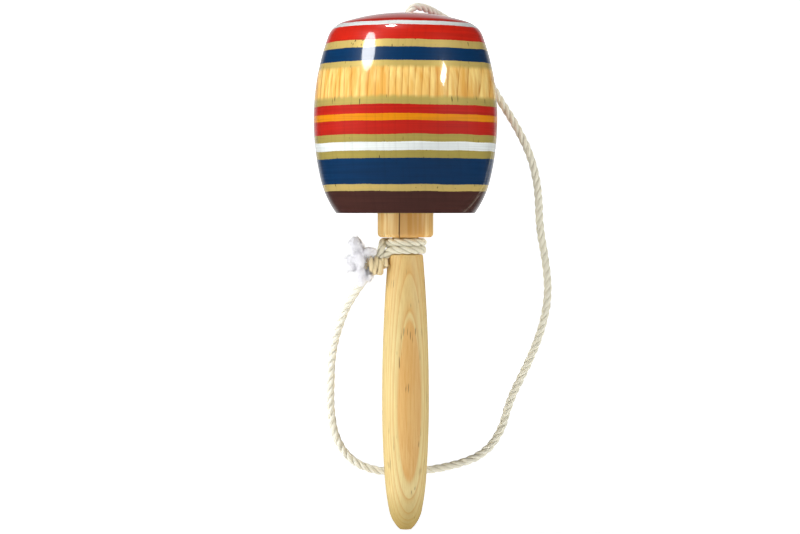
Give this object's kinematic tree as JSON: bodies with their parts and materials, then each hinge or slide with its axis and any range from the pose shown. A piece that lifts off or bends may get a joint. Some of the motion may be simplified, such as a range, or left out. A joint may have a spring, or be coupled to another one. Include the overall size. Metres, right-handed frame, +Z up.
{
  "type": "cup-and-ball toy",
  "caption": "Wooden cup-and-ball toy: a banded, lacquered barrel with a bored base seated on a turned stick, joined to it by a twisted cotton cord.",
  "frame": {"origin": "on the stick's axis at the thickest part of the handle, where the hand holds it", "axes": "+Z up along the stick's axis from the handle's tip to the barrel; the cord hangs on the +X side and behind, at +Y"},
  "size_m": [0.0918, 0.07, 0.2016],
  "materials": {
    "pine": "satin, fine sanded",
    "lacquered_wood": "painted bands and bare wood under gloss lacquer",
    "cotton": "matt twisted cotton",
    "frayed_cotton": "matt loose cotton fibre"
  },
  "bodies": {
    "stick": {"stick": "pine", "neck_winding": "cotton", "neck_knot": "cotton", "frayed_end": "frayed_cotton", "cord_loop": "cotton"},
    "cord_end": {"stopper_knot": "cotton"},
    "barrel": {"barrel": "lacquered_wood"}
  },
  "joints": [
    {"name": "barrel_lift", "type": "slide", "parent": "stick", "child": "cord_end", "axis": [0, 0, 1], "range_m": [0, 0.056], "deforming": ["cord_loop"]},
    {"name": "barrel_spin", "type": "hinge", "parent": "cord_end", "child": "barrel", "pos_m": [0, 0, 0.1], "axis": [0, 0, 1], "continuous": true}
  ]
}
